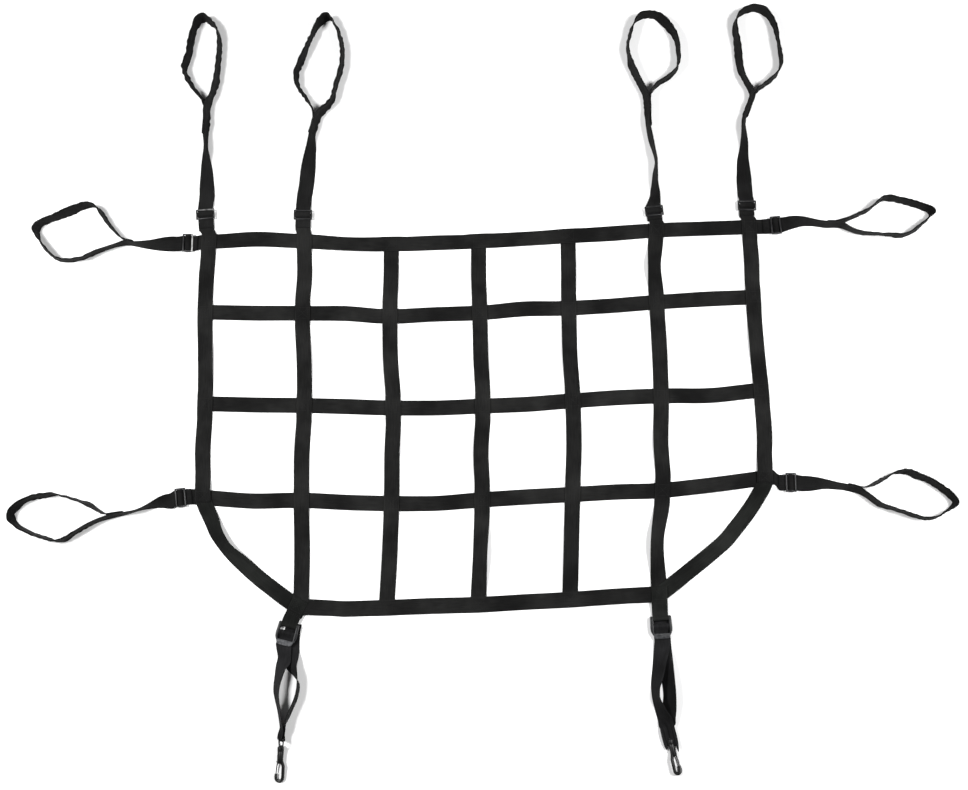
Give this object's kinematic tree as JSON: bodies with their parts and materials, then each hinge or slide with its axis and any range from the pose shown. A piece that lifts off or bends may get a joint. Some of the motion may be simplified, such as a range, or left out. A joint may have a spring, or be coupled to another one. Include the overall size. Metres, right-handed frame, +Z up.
{
  "type": "cargo net",
  "caption": "Flat cargo net of crossed webbing straps, with adjustable edge loops on slides and buckled straps that end in swivel snap hooks.",
  "frame": {"origin": "middle of the whole net's bounding box, on the floor it lies on", "axes": "+X to the right and +Y up the net as the picture shows it, hooks at -Y, +Z up off the floor"},
  "size_m": [1.5494, 1.3056, 0.0252],
  "materials": {
    "net_webbing": "near-black woven webbing, matt with a faint sheen",
    "corner_webbing": "near-black woven webbing, matt",
    "loop_webbing": "near-black woven webbing, matt, lighter along its selvedges",
    "hook_strap_webbing": "near-black woven webbing, matt",
    "slide_plastic": "dark grey moulded plastic with worn, lighter edges",
    "lock_plastic": "dark grey moulded plastic, satin",
    "hook_metal": "black coated cast metal, satin",
    "gate_metal": "black coated metal, worn to grey"
  },
  "bodies": {
    "root": {"hook_eye_left": "hook_metal", "hook_eye_right": "hook_metal", "hook_strap_left": "hook_strap_webbing", "hook_strap_right": "hook_strap_webbing", "ladder_lock_left": "lock_plastic", "ladder_lock_right": "lock_plastic", "lock_tab_left": "corner_webbing", "lock_tab_right": "corner_webbing", "loop_left_1": "loop_webbing", "loop_left_2": "loop_webbing", "loop_right_1": "loop_webbing", "loop_right_2": "loop_webbing", "loop_top_1": "loop_webbing", "loop_top_2": "loop_webbing", "loop_top_3": "loop_webbing", "loop_top_4": "loop_webbing", "slide_left_1": "slide_plastic", "slide_left_2": "slide_plastic", "slide_right_1": "slide_plastic", "slide_right_2": "slide_plastic", "slide_top_1": "slide_plastic", "slide_top_2": "slide_plastic", "slide_top_3": "slide_plastic", "slide_top_4": "slide_plastic", "strap_corner_left": "corner_webbing", "strap_corner_right": "corner_webbing", "strap_level_1": "net_webbing", "strap_level_2": "net_webbing", "strap_level_3": "net_webbing", "strap_level_4": "net_webbing", "strap_level_5": "net_webbing", "strap_upright_1": "net_webbing", "strap_upright_2": "net_webbing", "strap_upright_3": "net_webbing", "strap_upright_4": "net_webbing", "strap_upright_5": "net_webbing", "strap_upright_6": "net_webbing", "strap_upright_7": "net_webbing"},
    "hook_left": {"snap_hook_left": "hook_metal"},
    "gate_left": {"hook_gate_left": "gate_metal"},
    "hook_right": {"snap_hook_right": "hook_metal"},
    "gate_right": {"hook_gate_right": "gate_metal"}
  },
  "joints": [
    {"name": "swivel_left", "type": "hinge", "parent": "root", "child": "hook_left", "pos_m": [-0.32148, -0.58334, 0.01], "axis": [-0.0451, -0.994, -0.0993], "continuous": true},
    {"name": "gate_left_hinge", "type": "hinge", "parent": "hook_left", "child": "gate_left", "pos_m": [-0.32649, -0.61942, 0.00591], "axis": [-0.1435, -0.0919, 0.9854], "range_deg": [0, 18], "stiffness_Nm_per_rad": 0.02, "springref_deg": -22.92},
    {"name": "swivel_right", "type": "hinge", "parent": "root", "child": "hook_right", "pos_m": [0.29552, -0.57284, 0.00555], "axis": [0.2198, -0.9755, 0], "continuous": true},
    {"name": "gate_right_hinge", "type": "hinge", "parent": "hook_right", "child": "gate_right", "pos_m": [0.30647, -0.60779, 0.00396], "axis": [-0.458, -0.1032, -0.8829], "range_deg": [0, 18], "stiffness_Nm_per_rad": 0.02, "springref_deg": -22.92}
  ]
}
